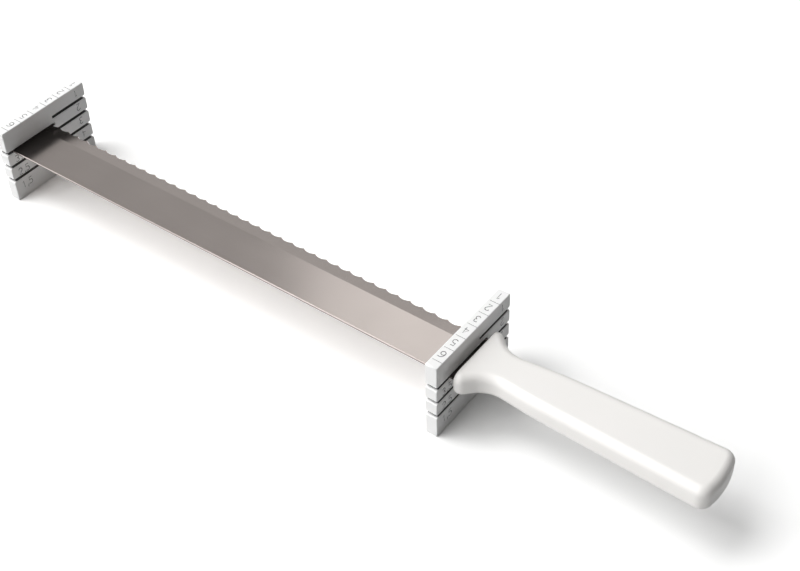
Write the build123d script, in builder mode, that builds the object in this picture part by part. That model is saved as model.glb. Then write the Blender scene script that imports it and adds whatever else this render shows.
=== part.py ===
from build123d import *
import math
import os

# Cake leveler: a long scalloped knife that lies flat in the slots of two upright guide plates.
# The plates stand on the table, and the slot in use sets the height of the cut.
# Sizes are in millimetres and degrees. X runs along the knife from its tip to its butt, Y from its spine
# to its cutting edge, and Z up. The origin is on the table, under the middle of the whole object.

# The blade, ground on its upper face only. Its length runs from the tip to the handle's front face.
blade_length = 340.0
blade_width = 33.2
blade_thickness = 1.5
spine_round = 0.5
bevel_width = 8.8
edge_thickness = 0.35
tip_radius_at_spine = 9.0
tip_radius_at_edge = 14.0
scallop_pitch = 8.0
scallop_depth = 1.2
scallop_grind_angle = 40.0
cusp_flat = 0.3
heel_length = 4.3

# The tang, hidden in the handle, with holes that the plastic runs through.
shoulder_depth = 3.0
tang_width = 15.0
tang_end_width = 10.0
tang_end_radius = 2.0
tang_end_cover = 30.0
tang_hole_diameter = 5.0
tang_hole_count = 3

# The handle. Half widths run from its axis to the spine side and to the edge side, which swells more.
# The waist is where the guard's slope and the grip's side would cross, before a hollow arc joins them.
handle_length = 137.0
handle_offset = 0.3
handle_front_thickness = 13.4
handle_butt_thickness = 15.4
handle_edge_radius = 4.5
front_edge_radius = 1.1
flare_overhang_spine = 4.1
flare_overhang_edge = 3.4
flare_widest_at_spine = 2.6
flare_widest_at_edge = 1.5
flare_lobe_radius = 4.7
flare_angle = 45.0
waist_half_spine = 10.6
waist_half_edge = 9.95
hollow_arc_radius = 16.0
fore_place = 41.0
fore_half_spine = 12.7
fore_half_edge = 13.7
swell_arc_radius = 300.0
butt_half_spine = 15.4
butt_half_edge = 16.9
butt_arc_radius = 48.0
butt_corner_radius = 6.5
fullest_share = 0.97

# The guide plates, cut from sheet. Slots open at the front, the spine side, and at the back.
guide_width = 65.0
guide_thickness = 7.0
guide_top_margin = 10.0
guide_corner_radius = 0.8
guide_edge_break = 0.25
slot_clearance = 0.15
slot_pitch = 10.0
slot_lead_in = 0.7
slot_end_gap = 0.8
front_slot_count = 3
front_slot_lowest = 15.0
back_slot_count = 4
back_slot_lowest = 10.0
back_slot_depth = 27.5

# Where the plates stand at rest: the near one just clear of the handle, the far one near the tip.
gap_to_handle = 4.1
tip_overhang = 12.0
spine_inset = 11.0
far_guide_shift = 6.5

# How far a cut runs past what it cuts.
overrun = 5.0

# Places worked out from the sizes above.
knife_length = blade_length + handle_length
tip_x = -knife_length / 2
handle_x = tip_x + blade_length
near_face_x = handle_x - gap_to_handle
far_face_x = tip_x + tip_overhang + guide_thickness
near_front_y = -(guide_width + far_guide_shift) / 2
far_front_y = near_front_y + far_guide_shift
spine_y = near_front_y + spine_inset
edge_y = spine_y + blade_width
axis_y = (spine_y + edge_y) / 2 + handle_offset
knife_z = front_slot_lowest + (front_slot_count - 1) * slot_pitch
blade_bottom = knife_z - blade_thickness / 2
blade_top = knife_z + blade_thickness / 2

os.makedirs("parts", exist_ok=True)

# Blade: a strip with the ground bevel in its section, rounded at the tip and cut into scallops by cones,
# which leave each scallop wider on the ground face. The tang carries on behind its shoulder.
strip_length = blade_length + shoulder_depth
scallop_run = blade_length - heel_length - tip_radius_at_edge
scallop_count = int(scallop_run // scallop_pitch)
scallop_half = (scallop_pitch - cusp_flat) / 2
scallop_radius = (scallop_half**2 + scallop_depth**2) / (2 * scallop_depth)
scallop_spread = blade_thickness * math.tan(math.radians(scallop_grind_angle))
scallop_y = edge_y - scallop_depth + scallop_radius
first_scallop_x = handle_x - heel_length - scallop_pitch / 2
scallops = [(first_scallop_x - i * scallop_pitch, scallop_y) for i in range(scallop_count)]
tang_x = handle_x + shoulder_depth
tang_length = handle_length - shoulder_depth - tang_end_cover
tang_hole_pitch = tang_length / (tang_hole_count + 1)
tang_holes = [(tang_x + (i + 1) * tang_hole_pitch, axis_y) for i in range(tang_hole_count)]

with BuildPart() as blade:
    with BuildSketch(Plane.YZ.offset(tip_x)):
        with BuildLine():
            Polyline(
                (spine_y, blade_bottom),
                (edge_y, blade_bottom),
                (edge_y, blade_bottom + edge_thickness),
                (edge_y - bevel_width, blade_top),
                (spine_y, blade_top),
                close=True,
            )
        make_face()
    extrude(amount=strip_length)
    fillet(blade.edges().filter_by(Axis.X).group_by(Axis.Y)[0], spine_round)
    with BuildSketch(Plane.XY.offset(blade_bottom - overrun)) as tip_outline:
        with Locations((tip_x, spine_y)):
            Rectangle(strip_length, blade_width, align=(Align.MIN, Align.MIN))
        fillet(tip_outline.vertices().group_by(Axis.X)[0].sort_by(Axis.Y)[0], tip_radius_at_spine)
        fillet(tip_outline.vertices().group_by(Axis.Y)[-1].sort_by(Axis.X)[0], tip_radius_at_edge)
    extrude(amount=blade_thickness + 2 * overrun, mode=Mode.INTERSECT)
    with Locations(Plane.XY.offset(blade_bottom)):
        with Locations(*scallops):
            Cone(
                scallop_radius,
                scallop_radius + scallop_spread,
                blade_thickness,
                align=(Align.CENTER, Align.CENTER, Align.MIN),
                mode=Mode.SUBTRACT,
            )
    with BuildSketch(Plane.XY.offset(blade_bottom)) as tang_outline:
        with BuildLine():
            Polyline(
                (tang_x, axis_y - tang_width / 2),
                (tang_x + tang_length, axis_y - tang_end_width / 2),
                (tang_x + tang_length, axis_y + tang_end_width / 2),
                (tang_x, axis_y + tang_width / 2),
                close=True,
            )
        make_face()
        fillet(tang_outline.vertices().group_by(Axis.X)[-1], tang_end_radius)
        with Locations(*tang_holes):
            Circle(tang_hole_diameter / 2, mode=Mode.SUBTRACT)
    extrude(amount=blade_thickness)

blade.part.label = "blade"
export_step(blade.part, "parts/blade.step")

# Handle: moulded in one round the blade's shoulder and tang, in two alike halves that meet at a parting
# line. Each half is drawn on a plane that tilts away from that line, so the handle thickens towards its
# butt. Its outline runs round a lobe of the finger guard, down a slope and a hollow arc to the grip, and
# round the butt. Ahead of the lobes the blank runs on as a nose, so that its long edges are rounded in
# one closed loop, and the nose is then cut off at the front face, where distances along the handle start.
taper_rise = (handle_butt_thickness - handle_front_thickness) / 2
handle_middle = Plane(
    origin=(handle_x, axis_y, knife_z),
    x_dir=(handle_length, 0, taper_rise),
    z_dir=(-taper_rise, 0, handle_length),
)
slope = math.radians(flare_angle)
nose_length = 2 * handle_edge_radius
long_edge_radius = min(handle_edge_radius, fullest_share * min(flare_lobe_radius, butt_corner_radius))
handle_sides = (
    (-1, flare_widest_at_spine, flare_overhang_spine, waist_half_spine, fore_half_spine, butt_half_spine),
    (1, flare_widest_at_edge, flare_overhang_edge, waist_half_edge, fore_half_edge, butt_half_edge),
)

with BuildPart() as handle:
    with BuildSketch(handle_middle.offset(handle_front_thickness / 2)) as handle_outline:
        with BuildLine():
            nose_ends = []
            butt_ends = []
            roundings = []
            for side, widest_at, overhang, waist_half, fore_half, butt_half in handle_sides:
                lobe_centre_half = blade_width / 2 + overhang - flare_lobe_radius
                lobe_front_angle = 90 + math.degrees(math.asin(widest_at / flare_lobe_radius))
                slope_start = widest_at + flare_lobe_radius * math.sin(slope)
                slope_start_half = lobe_centre_half + flare_lobe_radius * math.cos(slope)
                waist_place = slope_start + (slope_start_half - waist_half) / math.tan(slope)
                waist_turn = slope + math.atan2(fore_half - waist_half, fore_place - waist_place)
                slope_length = (slope_start_half - waist_half) / math.sin(slope)
                hollow_limit = slope_length * fullest_share / math.tan(waist_turn / 2)
                butt_place = handle_length - butt_arc_radius + math.sqrt(butt_arc_radius**2 - butt_half**2)
                waist_point = (waist_place, side * waist_half)
                fore_point = (fore_place, side * fore_half)
                butt_point = (butt_place, side * butt_half)
                lobe = CenterArc(
                    (widest_at, side * lobe_centre_half),
                    flare_lobe_radius,
                    side * lobe_front_angle,
                    side * (90 - flare_angle - lobe_front_angle),
                )
                nose_point = lobe @ 0 - (lobe % 0) * nose_length
                Line(nose_point, lobe @ 0)
                Polyline(lobe @ 1, waist_point, fore_point, butt_point)
                nose_ends.append(nose_point)
                butt_ends.append(butt_point)
                roundings.append((nose_point, butt_corner_radius))
                roundings.append((waist_point, min(hollow_arc_radius, hollow_limit)))
                roundings.append((fore_point, swell_arc_radius))
                roundings.append((butt_point, butt_corner_radius))
            ThreePointArc(butt_ends[0], (handle_length, 0), butt_ends[1])
            Line(*nose_ends)
        make_face()
        for corner, radius in roundings:
            fillet(handle_outline.vertices().sort_by_distance(corner)[0], radius)
    extrude(amount=-handle_butt_thickness)
    fillet(handle.faces().sort_by(Axis.Z)[-1].edges(), long_edge_radius)
    split(bisect_by=Plane.XY.offset(knife_z), keep=Keep.TOP)
    mirror(about=Plane.XY.offset(knife_z))
    split(bisect_by=Plane.YZ.offset(handle_x), keep=Keep.TOP)
    fillet(handle.faces().filter_by(Axis.X).sort_by(Axis.X)[0].edges(), front_edge_radius)
    add(blade.part, mode=Mode.SUBTRACT)

handle.part.label = "handle"
export_step(handle.part, "parts/handle.step")

# Guides: two plates of one size. Each slot is wide enough for the blade to slide, with a short lead-in at
# its mouth. The front slots of each plate end just past the blade's cutting edge, so those of the plate
# that stands further back are shorter.
guide_height = back_slot_lowest + (back_slot_count - 1) * slot_pitch + guide_top_margin
slot_width = blade_thickness + 2 * slot_clearance


def slot_points(mouth_y, way_in, depth, height):
    """Outline of one slot from its mouth, where way_in is 1 towards the back and -1 towards the front."""
    narrow = slot_width / 2
    wide = narrow + slot_lead_in
    lead_y = mouth_y + way_in * slot_lead_in
    end_y = mouth_y + way_in * depth
    return [
        (mouth_y, height - wide),
        (lead_y, height - narrow),
        (end_y, height - narrow),
        (end_y, height + narrow),
        (lead_y, height + narrow),
        (mouth_y, height + wide),
    ]


for guide_name, face_x, front_y in (
    ("near_guide", near_face_x, near_front_y),
    ("far_guide", far_face_x, far_front_y),
):
    back_y = front_y + guide_width
    front_slot_depth = edge_y + slot_end_gap - front_y
    slots = []
    for i in range(front_slot_count):
        slots.append(slot_points(front_y, 1, front_slot_depth, front_slot_lowest + i * slot_pitch))
    for i in range(back_slot_count):
        slots.append(slot_points(back_y, -1, back_slot_depth, back_slot_lowest + i * slot_pitch))
    with BuildPart() as guide:
        with BuildSketch(Plane.YZ.offset(face_x - guide_thickness)) as plate:
            with Locations((front_y, 0)):
                Rectangle(guide_width, guide_height, align=(Align.MIN, Align.MIN))
            fillet(plate.vertices(), guide_corner_radius)
            for slot in slots:
                with BuildLine():
                    Polyline(*slot, close=True)
                make_face(mode=Mode.SUBTRACT)
        extrude(amount=guide_thickness)
        chamfer(guide.faces().filter_by(Axis.X).edges(), guide_edge_break)

    guide.part.label = guide_name
    export_step(guide.part, f"parts/{guide_name}.step")
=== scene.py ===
import math
import bpy
from mathutils import Matrix, Vector


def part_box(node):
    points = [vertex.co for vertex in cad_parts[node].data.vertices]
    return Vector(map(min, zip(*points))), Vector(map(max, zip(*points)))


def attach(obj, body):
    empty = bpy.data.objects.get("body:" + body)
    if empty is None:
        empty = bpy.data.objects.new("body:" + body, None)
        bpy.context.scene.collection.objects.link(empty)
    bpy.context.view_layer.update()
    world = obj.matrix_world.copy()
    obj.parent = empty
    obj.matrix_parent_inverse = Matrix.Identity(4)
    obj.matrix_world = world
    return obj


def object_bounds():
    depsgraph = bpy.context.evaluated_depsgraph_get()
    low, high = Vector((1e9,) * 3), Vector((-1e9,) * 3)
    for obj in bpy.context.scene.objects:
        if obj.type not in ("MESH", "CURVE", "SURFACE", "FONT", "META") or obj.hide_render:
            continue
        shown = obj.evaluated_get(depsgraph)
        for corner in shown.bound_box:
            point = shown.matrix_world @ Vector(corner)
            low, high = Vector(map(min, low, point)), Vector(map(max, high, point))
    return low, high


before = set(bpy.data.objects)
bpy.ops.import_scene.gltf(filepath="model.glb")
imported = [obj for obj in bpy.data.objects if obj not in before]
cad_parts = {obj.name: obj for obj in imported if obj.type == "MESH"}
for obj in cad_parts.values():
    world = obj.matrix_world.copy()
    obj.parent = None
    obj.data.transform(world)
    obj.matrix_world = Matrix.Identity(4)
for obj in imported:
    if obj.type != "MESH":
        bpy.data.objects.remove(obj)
cad_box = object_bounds()
scene = bpy.context.scene
scene.view_settings.view_transform = "Standard"

# The knife blade: a long strip of stainless steel with a soft haze and small specks, fixed by a tang that
# the handle hides. It is ground lengthwise on its flats and, as such blades usually are, crosswise on the
# bevelled strip that carries the scallops.
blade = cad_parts["blade"]
blade_low, blade_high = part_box("blade")
blade_bevel_width = 0.0088
blade_bevel_line = blade_high.y - blade_bevel_width
blade_steel_colour = (0.62, 0.555, 0.52, 1)
blade_light_line_colour = (0.68, 0.615, 0.58, 1)
blade_flat_lines_per_metre = 2600
blade_flat_line_length = 0.03
blade_bevel_lines_per_metre = 3400
blade_bevel_line_length = 0.012
blade_line_strength = 0.03
blade_line_height = 0.00002
blade_haze_scale = 22
blade_roughness = (0.15, 0.21)
blade_line_roughness = 0.07
blade_speck_scale = 48
blade_speck_edge = (0.012, 0.03)
blade_speck_share = 0.55
blade_speck_colour = (0.55, 0.5, 0.48, 1)
# Painted shade: the strip along the spine is coloured much darker than the steel, as a painted reflection
# of the shaded table beneath the blade.
blade_spine_line = blade_low.y + 0.0005
blade_spine_painted_shade_colour = (0.30, 0.265, 0.25, 1)
colour_edge = 0.0001
noise_span = (0.3, 0.7)


def grinding_lines_group():
    """Fine parallel lines left by an abrasive belt, as a mask and as a height."""
    group = bpy.data.node_groups.new("grinding_lines", "ShaderNodeTree")
    group.interface.new_socket("Place", in_out="INPUT", socket_type="NodeSocketVector")
    group.interface.new_socket("Lines per metre", in_out="INPUT", socket_type="NodeSocketFloat")
    group.interface.new_socket("Length", in_out="INPUT", socket_type="NodeSocketFloat")
    group.interface.new_socket("Lines", in_out="OUTPUT", socket_type="NodeSocketFloat")
    nodes, links = group.nodes, group.links
    given = nodes.new("NodeGroupInput")
    result = nodes.new("NodeGroupOutput")
    apart = nodes.new("ShaderNodeSeparateXYZ")
    links.new(given.outputs["Place"], apart.inputs["Vector"])
    along = nodes.new("ShaderNodeMath")
    along.operation = "DIVIDE"
    links.new(apart.outputs["X"], along.inputs[0])
    links.new(given.outputs["Length"], along.inputs[1])
    across = nodes.new("ShaderNodeMath")
    across.operation = "MULTIPLY"
    links.new(apart.outputs["Y"], across.inputs[0])
    links.new(given.outputs["Lines per metre"], across.inputs[1])
    stretched = nodes.new("ShaderNodeCombineXYZ")
    links.new(along.outputs["Value"], stretched.inputs["X"])
    links.new(across.outputs["Value"], stretched.inputs["Y"])
    links.new(apart.outputs["Z"], stretched.inputs["Z"])
    belt = nodes.new("ShaderNodeTexNoise")
    belt.inputs["Scale"].default_value = 1
    belt.inputs["Detail"].default_value = 5
    belt.inputs["Roughness"].default_value = 0.65
    links.new(stretched.outputs["Vector"], belt.inputs["Vector"])
    links.new(belt.outputs["Fac"], result.inputs["Lines"])
    return group


grinding_lines = grinding_lines_group()


def ground_steel():
    """Lengthwise ground stainless steel with a crosswise ground strip along the scallops."""
    material = bpy.data.materials.new("ground_steel")
    material.use_nodes = True
    nodes, links = material.node_tree.nodes, material.node_tree.links
    steel = nodes["Principled BSDF"]
    steel.inputs["Metallic"].default_value = 1
    place = nodes.new("ShaderNodeTexCoord")
    apart = nodes.new("ShaderNodeSeparateXYZ")
    links.new(place.outputs["Object"], apart.inputs["Vector"])

    on_bevel = nodes.new("ShaderNodeMapRange")
    on_bevel.inputs["From Min"].default_value = blade_bevel_line - colour_edge
    on_bevel.inputs["From Max"].default_value = blade_bevel_line + colour_edge
    links.new(apart.outputs["Y"], on_bevel.inputs["Value"])

    flat_lines = nodes.new("ShaderNodeGroup")
    flat_lines.node_tree = grinding_lines
    flat_lines.inputs["Lines per metre"].default_value = blade_flat_lines_per_metre
    flat_lines.inputs["Length"].default_value = blade_flat_line_length
    links.new(place.outputs["Object"], flat_lines.inputs["Place"])
    turned = nodes.new("ShaderNodeCombineXYZ")
    links.new(apart.outputs["Y"], turned.inputs["X"])
    links.new(apart.outputs["X"], turned.inputs["Y"])
    links.new(apart.outputs["Z"], turned.inputs["Z"])
    bevel_lines = nodes.new("ShaderNodeGroup")
    bevel_lines.node_tree = grinding_lines
    bevel_lines.inputs["Lines per metre"].default_value = blade_bevel_lines_per_metre
    bevel_lines.inputs["Length"].default_value = blade_bevel_line_length
    links.new(turned.outputs["Vector"], bevel_lines.inputs["Place"])
    lines = nodes.new("ShaderNodeMix")
    links.new(on_bevel.outputs["Result"], lines.inputs["Factor"])
    links.new(flat_lines.outputs["Lines"], lines.inputs["A"])
    links.new(bevel_lines.outputs["Lines"], lines.inputs["B"])

    haze = nodes.new("ShaderNodeTexNoise")
    haze.inputs["Scale"].default_value = blade_haze_scale
    haze.inputs["Detail"].default_value = 4
    links.new(place.outputs["Object"], haze.inputs["Vector"])
    haze_roughness = nodes.new("ShaderNodeMapRange")
    haze_roughness.inputs["From Min"].default_value = noise_span[0]
    haze_roughness.inputs["From Max"].default_value = noise_span[1]
    haze_roughness.inputs["To Min"].default_value = blade_roughness[0]
    haze_roughness.inputs["To Max"].default_value = blade_roughness[1]
    links.new(haze.outputs["Fac"], haze_roughness.inputs["Value"])
    line_roughness = nodes.new("ShaderNodeMath")
    line_roughness.operation = "MULTIPLY_ADD"
    line_roughness.inputs[1].default_value = blade_line_roughness
    links.new(lines.outputs["Result"], line_roughness.inputs[0])
    links.new(haze_roughness.outputs["Result"], line_roughness.inputs[2])
    links.new(line_roughness.outputs["Value"], steel.inputs["Roughness"])

    tint = nodes.new("ShaderNodeMix")
    tint.data_type = "RGBA"
    tint.inputs["A"].default_value = blade_steel_colour
    tint.inputs["B"].default_value = blade_light_line_colour
    links.new(lines.outputs["Result"], tint.inputs["Factor"])

    specks = nodes.new("ShaderNodeTexVoronoi")
    specks.inputs["Scale"].default_value = blade_speck_scale
    links.new(place.outputs["Object"], specks.inputs["Vector"])
    speck_size = nodes.new("ShaderNodeMapRange")
    speck_size.inputs["From Min"].default_value = blade_speck_edge[0]
    speck_size.inputs["From Max"].default_value = blade_speck_edge[1]
    speck_size.inputs["To Min"].default_value = blade_speck_share
    speck_size.inputs["To Max"].default_value = 0
    links.new(specks.outputs["Distance"], speck_size.inputs["Value"])
    speckled = nodes.new("ShaderNodeMix")
    speckled.data_type = "RGBA"
    speckled.blend_type = "MULTIPLY"
    speckled.inputs["B"].default_value = blade_speck_colour
    links.new(speck_size.outputs["Result"], speckled.inputs["Factor"])
    links.new(tint.outputs["Result"], speckled.inputs["A"])

    # Painted shade: darkens the strip along the spine, standing in for the shaded table that it mirrors.
    spine_shade_mask = nodes.new("ShaderNodeMapRange")
    spine_shade_mask.inputs["From Min"].default_value = blade_spine_line + colour_edge
    spine_shade_mask.inputs["From Max"].default_value = blade_spine_line - colour_edge
    links.new(apart.outputs["Y"], spine_shade_mask.inputs["Value"])
    spine_shaded = nodes.new("ShaderNodeMix")
    spine_shaded.data_type = "RGBA"
    spine_shaded.inputs["B"].default_value = blade_spine_painted_shade_colour
    links.new(spine_shade_mask.outputs["Result"], spine_shaded.inputs["Factor"])
    links.new(speckled.outputs["Result"], spine_shaded.inputs["A"])
    links.new(spine_shaded.outputs["Result"], steel.inputs["Base Color"])

    relief = nodes.new("ShaderNodeBump")
    relief.inputs["Strength"].default_value = blade_line_strength
    relief.inputs["Distance"].default_value = blade_line_height
    links.new(lines.outputs["Result"], relief.inputs["Height"])
    links.new(relief.outputs["Normal"], steel.inputs["Normal"])
    return material


blade.data.materials.clear()
blade.data.materials.append(ground_steel())

# The handle: warm white plastic moulded round the blade's tang in a two-part tool. Its skin has the faint
# even grain of a satin mould, with slow changes of gloss.
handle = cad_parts["handle"]
handle_colour = (0.92, 0.90, 0.875, 1)
handle_shade_colour = (0.89, 0.875, 0.85, 1)
handle_roughness = (0.34, 0.42)
handle_grains_per_metre = 2200
handle_grain_height = 0.00003
gloss_patches_per_metre = 30
plastic_grain_strength = 0.25
plastic_ior = 1.49


def moulded_grain_group():
    """The fine grain and the slow change of gloss of a moulded or sawn plastic face."""
    group = bpy.data.node_groups.new("moulded_grain", "ShaderNodeTree")
    group.interface.new_socket("Place", in_out="INPUT", socket_type="NodeSocketVector")
    group.interface.new_socket("Grains per metre", in_out="INPUT", socket_type="NodeSocketFloat")
    group.interface.new_socket("Patches per metre", in_out="INPUT", socket_type="NodeSocketFloat")
    group.interface.new_socket("Grain", in_out="OUTPUT", socket_type="NodeSocketFloat")
    group.interface.new_socket("Patches", in_out="OUTPUT", socket_type="NodeSocketFloat")
    nodes, links = group.nodes, group.links
    given = nodes.new("NodeGroupInput")
    result = nodes.new("NodeGroupOutput")
    grain = nodes.new("ShaderNodeTexNoise")
    grain.inputs["Detail"].default_value = 2
    links.new(given.outputs["Place"], grain.inputs["Vector"])
    links.new(given.outputs["Grains per metre"], grain.inputs["Scale"])
    patches = nodes.new("ShaderNodeTexNoise")
    patches.inputs["Detail"].default_value = 4
    links.new(given.outputs["Place"], patches.inputs["Vector"])
    links.new(given.outputs["Patches per metre"], patches.inputs["Scale"])
    links.new(grain.outputs["Fac"], result.inputs["Grain"])
    links.new(patches.outputs["Fac"], result.inputs["Patches"])
    return group


moulded_grain = moulded_grain_group()


def satin_plastic(name, colour, shade_colour, roughness, grains_per_metre, grain_height):
    """White plastic with its own colour, gloss and grain."""
    material = bpy.data.materials.new(name)
    material.use_nodes = True
    nodes, links = material.node_tree.nodes, material.node_tree.links
    plastic = nodes["Principled BSDF"]
    plastic.inputs["IOR"].default_value = plastic_ior
    place = nodes.new("ShaderNodeTexCoord")
    skin = nodes.new("ShaderNodeGroup")
    skin.node_tree = moulded_grain
    skin.inputs["Grains per metre"].default_value = grains_per_metre
    skin.inputs["Patches per metre"].default_value = gloss_patches_per_metre
    links.new(place.outputs["Object"], skin.inputs["Place"])
    tone = nodes.new("ShaderNodeMix")
    tone.data_type = "RGBA"
    tone.inputs["A"].default_value = colour
    tone.inputs["B"].default_value = shade_colour
    links.new(skin.outputs["Patches"], tone.inputs["Factor"])
    links.new(tone.outputs["Result"], plastic.inputs["Base Color"])
    gloss = nodes.new("ShaderNodeMapRange")
    gloss.inputs["From Min"].default_value = noise_span[0]
    gloss.inputs["From Max"].default_value = noise_span[1]
    gloss.inputs["To Min"].default_value = roughness[0]
    gloss.inputs["To Max"].default_value = roughness[1]
    links.new(skin.outputs["Patches"], gloss.inputs["Value"])
    links.new(gloss.outputs["Result"], plastic.inputs["Roughness"])
    relief = nodes.new("ShaderNodeBump")
    relief.inputs["Strength"].default_value = plastic_grain_strength
    relief.inputs["Distance"].default_value = grain_height
    links.new(skin.outputs["Grain"], relief.inputs["Height"])
    links.new(relief.outputs["Normal"], plastic.inputs["Normal"])
    return material


handle.data.materials.clear()
handle_plastic = satin_plastic(
    "handle_plastic", handle_colour, handle_shade_colour,
    handle_roughness, handle_grains_per_metre, handle_grain_height,
)
handle.data.materials.append(handle_plastic)

# The two guides: plates of cooler white plastic, engraved with a centimetre rule on top and each slot's
# height in centimetres beside it, on its head at the back slots. The slots look black except at their
# mouths, so behind their mouths their walls carry painted shade, coloured nearly black.
guide_colour = (0.93, 0.93, 0.925, 1)
guide_shade_colour = (0.905, 0.905, 0.90, 1)
guide_roughness = (0.40, 0.52)
guide_grains_per_metre = 1800
guide_grain_height = 0.00004
# Painted shade: the colour given to the slots' walls behind their mouths.
slot_wall_painted_shade_colour = (0.09, 0.09, 0.09, 1)
slot_wall_margin = 0.002
slot_mouth_depth = 0.0015
slot_wall_levelness = 0.85
mirrored_shade_colour = (0.01, 0.01, 0.01, 1)
mirrored_face_turn = 0.7
# The engraved grooves are coloured nearly black.
groove_colour = (0.08, 0.08, 0.085, 1)
groove_shade_colour = (0.05, 0.05, 0.055, 1)
groove_roughness = (0.6, 0.7)
groove_radius = 0.0002
rule_groove_share = 0.6
figure_height = 0.0046
figure_width_share = 0.55
figure_advance_share = 0.80
arc_step_degrees = 20
rule_figure_height = 0.0044
rule_pitch = 0.010
rule_line_count = 6
rule_line_share = 0.85
front_slot_heights = (0.015, 0.025, 0.035)
front_figures_from_edge = 0.0088
front_figures_below_slot = 0.0060
back_slot_heights = (0.040, 0.030, 0.020, 0.010)
back_figures_from_edge = 0.0070
back_figures_above_slot = 0.0055


def arc_points(centre_x, centre_y, radius, start_angle, end_angle):
    """Points along an arc, in shares of the figure's height and in degrees."""
    sweep = end_angle - start_angle
    steps = max(4, round(abs(sweep) / arc_step_degrees))
    angles = [math.radians(start_angle + sweep * i / steps) for i in range(steps + 1)]
    return [(centre_x + radius * math.cos(a), centre_y + radius * math.sin(a)) for a in angles]


figure_strokes = {
    "1": [[(0.10, 0.76), (0.33, 1.0), (0.33, 0.0)]],
    "2": [arc_points(0.275, 0.725, 0.275, 165, -40) + [(0.0, 0.0), (0.55, 0.0)]],
    "3": [arc_points(0.27, 0.76, 0.24, 150, -90), arc_points(0.27, 0.26, 0.26, 90, -150)],
    "4": [[(0.42, 0.0), (0.42, 1.0), (0.0, 0.30), (0.56, 0.30)]],
    "5": [[(0.50, 1.0), (0.08, 1.0)] + arc_points(0.24, 0.31, 0.31, 127, -140)],
    "6": [arc_points(0.50, 0.44, 0.50, 70, 180) + arc_points(0.29, 0.29, 0.29, 180, 540)],
    ",": [[(0.22, 0.12), (0.08, -0.24)]],
}
comma_advance_share = 0.36


def engrave_figures(curve, text, height, middle, right, up):
    """Adds the centre lines of a row of figures, centred on a point of a guide's face."""
    advances = [comma_advance_share if sign == "," else figure_advance_share for sign in text]
    width = sum(advances) - figure_advance_share + figure_width_share
    start = -width / 2
    for sign, advance in zip(text, advances):
        for stroke in figure_strokes[sign]:
            points = [middle + (right * (start + x) + up * (y - 0.5)) * height for x, y in stroke]
            engrave_line(curve, points)
        start += advance


def engrave_line(curve, points, width_share=1):
    """Adds one straight or bent centre line."""
    line = curve.splines.new("POLY")
    line.points.add(len(points) - 1)
    for spot, point in zip(line.points, points):
        spot.co = (*point, 1)
        spot.radius = width_share


def engraving(guide_name):
    """The round-nosed cutter's whole path over one guide, as a solid to be taken off the plate."""
    low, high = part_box(guide_name)
    curve = bpy.data.curves.new(guide_name + "_engraving_path", "CURVE")
    curve.dimensions = "3D"
    curve.bevel_depth = groove_radius
    curve.bevel_resolution = 2
    curve.use_fill_caps = True
    thickness = high.x - low.x
    across, upward = Vector((0, 1, 0)), Vector((0, 0, 1))
    for count in range(1, rule_line_count + 1):
        line_y = high.y - rule_pitch * count
        line_end = high.x - thickness * rule_line_share
        line_start = high.x + groove_radius
        line_points = [Vector((x, line_y, high.z)) for x in (line_start, line_end)]
        engrave_line(curve, line_points, rule_groove_share)
        middle = Vector(((low.x + high.x) / 2, line_y + rule_pitch / 2, high.z))
        engrave_figures(curve, str(count), rule_figure_height, middle, Vector((-1, 0, 0)), -across)
    for slot in front_slot_heights:
        text = f"{slot * 100:.1f}".replace(".", ",")
        figures_z = low.z + slot - front_figures_below_slot
        middle = Vector((high.x, low.y + front_figures_from_edge, figures_z))
        engrave_figures(curve, text, figure_height, middle, across, upward)
    for number, slot in enumerate(back_slot_heights, 1):
        figures_z = low.z + slot + back_figures_above_slot
        middle = Vector((high.x, high.y - back_figures_from_edge, figures_z))
        engrave_figures(curve, str(number), figure_height, middle, -across, -upward)
    path = bpy.data.objects.new(guide_name + "_engraving_path", curve)
    scene.collection.objects.link(path)
    bpy.context.view_layer.update()
    shape = bpy.data.meshes.new_from_object(path.evaluated_get(bpy.context.evaluated_depsgraph_get()))
    bpy.data.objects.remove(path)
    cutter = bpy.data.objects.new(guide_name + "_engraving", shape)
    scene.collection.objects.link(cutter)
    cutter.hide_render = True
    cutter.hide_viewport = True
    return cutter


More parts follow.
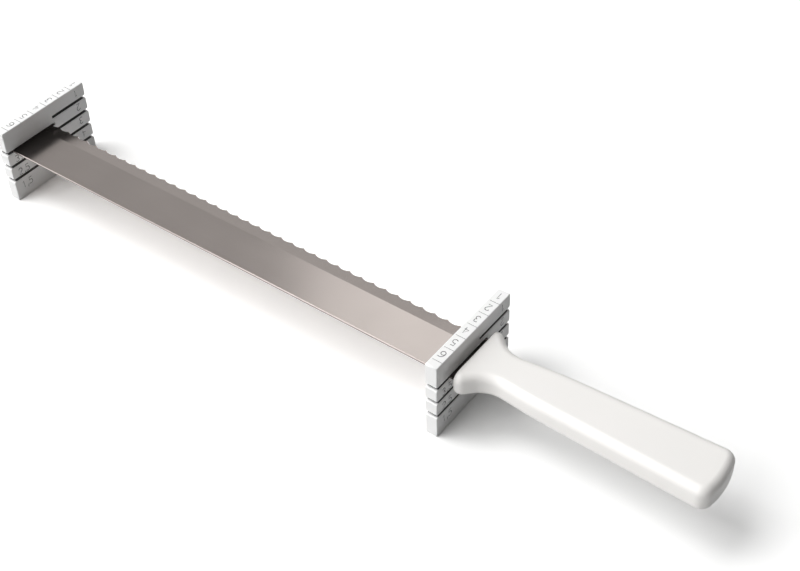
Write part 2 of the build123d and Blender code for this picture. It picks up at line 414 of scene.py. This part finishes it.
def darken_slot_walls(material, low, high):
    """Paints shade on the level faces inside the plate, which are its slots' walls, but not at their
    mouths.
    """
    nodes, links = material.node_tree.nodes, material.node_tree.links
    plastic = nodes["Principled BSDF"]
    plain = plastic.inputs["Base Color"].links[0].from_socket
    place = nodes.new("ShaderNodeTexCoord")
    faced = nodes.new("ShaderNodeSeparateXYZ")
    links.new(place.outputs["Normal"], faced.inputs["Vector"])
    levels = nodes.new("ShaderNodeMath")
    levels.operation = "ABSOLUTE"
    links.new(faced.outputs["Z"], levels.inputs[0])
    sides = nodes.new("ShaderNodeMath")
    sides.operation = "ABSOLUTE"
    links.new(faced.outputs["Y"], sides.inputs[0])
    wall = nodes.new("ShaderNodeMath")
    wall.operation = "SUBTRACT"
    links.new(levels.outputs["Value"], wall.inputs[0])
    links.new(sides.outputs["Value"], wall.inputs[1])
    is_wall = nodes.new("ShaderNodeMath")
    is_wall.operation = "GREATER_THAN"
    is_wall.inputs[1].default_value = slot_wall_levelness
    links.new(wall.outputs["Value"], is_wall.inputs[0])
    apart = nodes.new("ShaderNodeSeparateXYZ")
    links.new(place.outputs["Object"], apart.inputs["Vector"])
    inside = nodes.new("ShaderNodeMath")
    inside.operation = "COMPARE"
    inside.inputs[1].default_value = (low.z + high.z) / 2
    inside.inputs[2].default_value = (high.z - low.z) / 2 - slot_wall_margin
    links.new(apart.outputs["Z"], inside.inputs[0])
    past_mouth = nodes.new("ShaderNodeMath")
    past_mouth.operation = "COMPARE"
    past_mouth.inputs[1].default_value = (low.y + high.y) / 2
    past_mouth.inputs[2].default_value = (high.y - low.y) / 2 - slot_mouth_depth
    links.new(apart.outputs["Y"], past_mouth.inputs[0])
    deep = nodes.new("ShaderNodeMath")
    deep.operation = "MULTIPLY"
    links.new(inside.outputs["Value"], deep.inputs[0])
    links.new(past_mouth.outputs["Value"], deep.inputs[1])
    mask = nodes.new("ShaderNodeMath")
    mask.operation = "MULTIPLY"
    links.new(is_wall.outputs["Value"], mask.inputs[0])
    links.new(deep.outputs["Value"], mask.inputs[1])
    colour = nodes.new("ShaderNodeMix")
    colour.data_type = "RGBA"
    colour.inputs["B"].default_value = slot_wall_painted_shade_colour
    links.new(mask.outputs["Value"], colour.inputs["Factor"])
    links.new(plain, colour.inputs["A"])
    links.new(colour.outputs["Result"], plastic.inputs["Base Color"])


def darken_mirrored_face(material):
    """Makes the shaded face towards the handle nearly black where the blade mirrors it."""
    nodes, links = material.node_tree.nodes, material.node_tree.links
    plastic = nodes["Principled BSDF"]
    plain = plastic.inputs["Base Color"].links[0].from_socket
    place = nodes.new("ShaderNodeTexCoord")
    faced = nodes.new("ShaderNodeSeparateXYZ")
    links.new(place.outputs["Normal"], faced.inputs["Vector"])
    to_handle = nodes.new("ShaderNodeMath")
    to_handle.operation = "GREATER_THAN"
    to_handle.inputs[1].default_value = mirrored_face_turn
    links.new(faced.outputs["X"], to_handle.inputs[0])
    ray = nodes.new("ShaderNodeLightPath")
    mirrored = nodes.new("ShaderNodeMath")
    mirrored.operation = "MULTIPLY"
    links.new(to_handle.outputs["Value"], mirrored.inputs[0])
    links.new(ray.outputs["Is Glossy Ray"], mirrored.inputs[1])
    colour = nodes.new("ShaderNodeMix")
    colour.data_type = "RGBA"
    colour.inputs["B"].default_value = mirrored_shade_colour
    links.new(mirrored.outputs["Value"], colour.inputs["Factor"])
    links.new(plain, colour.inputs["A"])
    links.new(colour.outputs["Result"], plastic.inputs["Base Color"])


groove_plastic = satin_plastic(
    "groove_plastic", groove_colour, groove_shade_colour,
    groove_roughness, guide_grains_per_metre, guide_grain_height,
)

for guide_name in ("near_guide", "far_guide"):
    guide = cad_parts[guide_name]
    guide_plastic = satin_plastic(
        guide_name + "_plastic", guide_colour, guide_shade_colour,
        guide_roughness, guide_grains_per_metre, guide_grain_height,
    )
    darken_slot_walls(guide_plastic, *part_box(guide_name))
    darken_mirrored_face(guide_plastic)
    guide.data.materials.clear()
    guide.data.materials.append(guide_plastic)
    guide.data.materials.append(groove_plastic)
    cutter = engraving(guide_name)
    cutter.data.materials.clear()
    cutter.data.materials.append(groove_plastic)
    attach(cutter, guide_name)
    groove = guide.modifiers.new("engraving", "BOOLEAN")
    groove.operation = "DIFFERENCE"
    groove.solver = "EXACT"
    groove.use_self = True
    groove.material_mode = "TRANSFER"
    groove.object = cutter

# The table: one sheet of plain white paper that runs on far behind the object. It is white to the eye and
# in reflections, and greyer as a source of light, so that it lights the object less from below.
table_reach = 30
table_white = (1.22, 1.22, 1.215, 1)
table_bounce = (0.45, 0.45, 0.45, 1)


def white_paper():
    """Plain matte paper that keeps the object's shadow."""
    material = bpy.data.materials.new("white_paper")
    material.use_nodes = True
    nodes, links = material.node_tree.nodes, material.node_tree.links
    nodes.remove(nodes["Principled BSDF"])
    ray = nodes.new("ShaderNodeLightPath")
    seen = nodes.new("ShaderNodeMath")
    seen.operation = "MAXIMUM"
    links.new(ray.outputs["Is Camera Ray"], seen.inputs[0])
    links.new(ray.outputs["Is Glossy Ray"], seen.inputs[1])
    shade = nodes.new("ShaderNodeMix")
    shade.data_type = "RGBA"
    shade.inputs["A"].default_value = table_bounce
    shade.inputs["B"].default_value = table_white
    links.new(seen.outputs["Value"], shade.inputs["Factor"])
    paper = nodes.new("ShaderNodeBsdfDiffuse")
    links.new(shade.outputs["Result"], paper.inputs["Color"])
    links.new(paper.outputs["BSDF"], nodes["Material Output"].inputs["Surface"])
    return material


table_mesh = bpy.data.meshes.new("table")
table_corners = [
    (x * table_reach, y * table_reach, cad_box[0].z) for x, y in ((-1, -1), (1, -1), (1, 1), (-1, 1))
]
table_mesh.from_pydata(table_corners, [], [(0, 1, 2, 3)])
table_mesh.materials.append(white_paper())
table = bpy.data.objects.new("table", table_mesh)
scene.collection.objects.link(table)

# The light: a wide bright window on the left in front of the knife, a dimly lit ceiling on the left behind
# it, two soft boxes on the left, one overhead and one behind, and a right side that is nearly dark. Past
# the paper all is white to the eye.
room_brightness = 3.4
window_levels = ((0.0, 0.67), (0.38, 0.70), (0.50, 0.96), (0.80, 1.0), (0.90, 0.09), (1.0, 0.03))
ceiling_levels = (
    (0.0, 0.03), (0.20, 0.12), (0.42, 0.16), (0.58, 0.10),
    (0.70, 0.105), (0.78, 0.08), (0.88, 0.07), (1.0, 0.03),
)
dark_side = (0.03, 0.03, 0.03, 1)
left_edge = (0.02, -0.12)
front_edge = (-0.06, -0.26)
overhead_place = (-0.45, -0.10, 1.2)
overhead_size = (0.7, 0.7)
overhead_power = 7.9
back_place = (-0.33, 0.74, 0.92)
back_size = (0.6, 0.4)
back_power = 0.55
lamp_aim = Vector((0, 0, 0.02))


def soft_box(name, place, size, power):
    """A rectangular lamp that faces the object."""
    lamp = bpy.data.lights.new(name, "AREA")
    lamp.shape = "RECTANGLE"
    lamp.size, lamp.size_y = size
    lamp.energy = power
    stand = bpy.data.objects.new(name, lamp)
    stand.location = place
    stand.rotation_mode = "QUATERNION"
    stand.rotation_quaternion = (lamp_aim - Vector(place)).to_track_quat("-Z", "Y")
    scene.collection.objects.link(stand)


soft_box("overhead_box", overhead_place, overhead_size, overhead_power)
soft_box("back_box", back_place, back_size, back_power)


def level_ramp(nodes, levels):
    """A smooth course of brightness over the sine of the height above the horizon."""
    ramp = nodes.new("ShaderNodeValToRGB")
    ramp.color_ramp.interpolation = "B_SPLINE"
    ramp.color_ramp.elements.remove(ramp.color_ramp.elements[1])
    for height, level in levels:
        stop = ramp.color_ramp.elements.new(height)
        stop.color = (level, level, level, 1)
    ramp.color_ramp.elements.remove(ramp.color_ramp.elements[0])
    return ramp


def half_lit_room():
    """The window, the ceiling and the dark right side, by direction."""
    room = bpy.data.worlds.new("half_lit_room")
    room.use_nodes = True
    nodes, links = room.node_tree.nodes, room.node_tree.links
    outward = nodes.new("ShaderNodeTexCoord")
    apart = nodes.new("ShaderNodeSeparateXYZ")
    links.new(outward.outputs["Generated"], apart.inputs["Vector"])
    window = level_ramp(nodes, window_levels)
    links.new(apart.outputs["Z"], window.inputs["Fac"])
    ceiling = level_ramp(nodes, ceiling_levels)
    links.new(apart.outputs["Z"], ceiling.inputs["Fac"])
    in_front = nodes.new("ShaderNodeMapRange")
    in_front.inputs["From Min"].default_value = front_edge[0]
    in_front.inputs["From Max"].default_value = front_edge[1]
    links.new(apart.outputs["Y"], in_front.inputs["Value"])
    on_left = nodes.new("ShaderNodeMapRange")
    on_left.inputs["From Min"].default_value = left_edge[0]
    on_left.inputs["From Max"].default_value = left_edge[1]
    links.new(apart.outputs["X"], on_left.inputs["Value"])
    left_side = nodes.new("ShaderNodeMix")
    left_side.data_type = "RGBA"
    links.new(in_front.outputs["Result"], left_side.inputs["Factor"])
    links.new(ceiling.outputs["Color"], left_side.inputs["A"])
    links.new(window.outputs["Color"], left_side.inputs["B"])
    lit = nodes.new("ShaderNodeMix")
    lit.data_type = "RGBA"
    lit.inputs["A"].default_value = dark_side
    links.new(on_left.outputs["Result"], lit.inputs["Factor"])
    links.new(left_side.outputs["Result"], lit.inputs["B"])
    brightened = nodes.new("ShaderNodeVectorMath")
    brightened.operation = "SCALE"
    brightened.inputs["Scale"].default_value = room_brightness
    links.new(lit.outputs["Result"], brightened.inputs["Vector"])
    ray = nodes.new("ShaderNodeLightPath")
    seen = nodes.new("ShaderNodeMix")
    seen.data_type = "RGBA"
    seen.inputs["B"].default_value = (1, 1, 1, 1)
    links.new(ray.outputs["Is Camera Ray"], seen.inputs["Factor"])
    links.new(brightened.outputs["Vector"], seen.inputs["A"])
    links.new(seen.outputs["Result"], nodes["Background"].inputs["Color"])
    return room


scene.world = half_lit_room()

# The camera: held above the butt of the handle and looking along the knife, from where the photograph was
# taken. Its place is measured from the corner of the near guide.
camera_from_guide = Vector((0.26781, -0.37246, 0.53816))
camera_turn = math.radians(127.75)
camera_dip = math.radians(43.28)
camera_roll = math.radians(-1.82)
camera_lens = 62.49
camera_film = 36

guide_low, guide_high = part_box("near_guide")
forward = Vector((
    math.cos(camera_turn) * math.cos(camera_dip),
    math.sin(camera_turn) * math.cos(camera_dip),
    -math.sin(camera_dip),
))
level = Vector((math.sin(camera_turn), -math.cos(camera_turn), 0))
upright = level.cross(forward)
right = level * math.cos(camera_roll) + upright * math.sin(camera_roll)
up = upright * math.cos(camera_roll) - level * math.sin(camera_roll)
camera_data = bpy.data.cameras.new("camera")
camera_data.lens = camera_lens
camera_data.sensor_width = camera_film
camera = bpy.data.objects.new("camera", camera_data)
camera.matrix_world = Matrix.Translation(
    Vector((guide_high.x, guide_low.y, guide_low.z)) + camera_from_guide
) @ Matrix((right, up, -forward)).transposed().to_4x4()
scene.collection.objects.link(camera)
scene.camera = camera
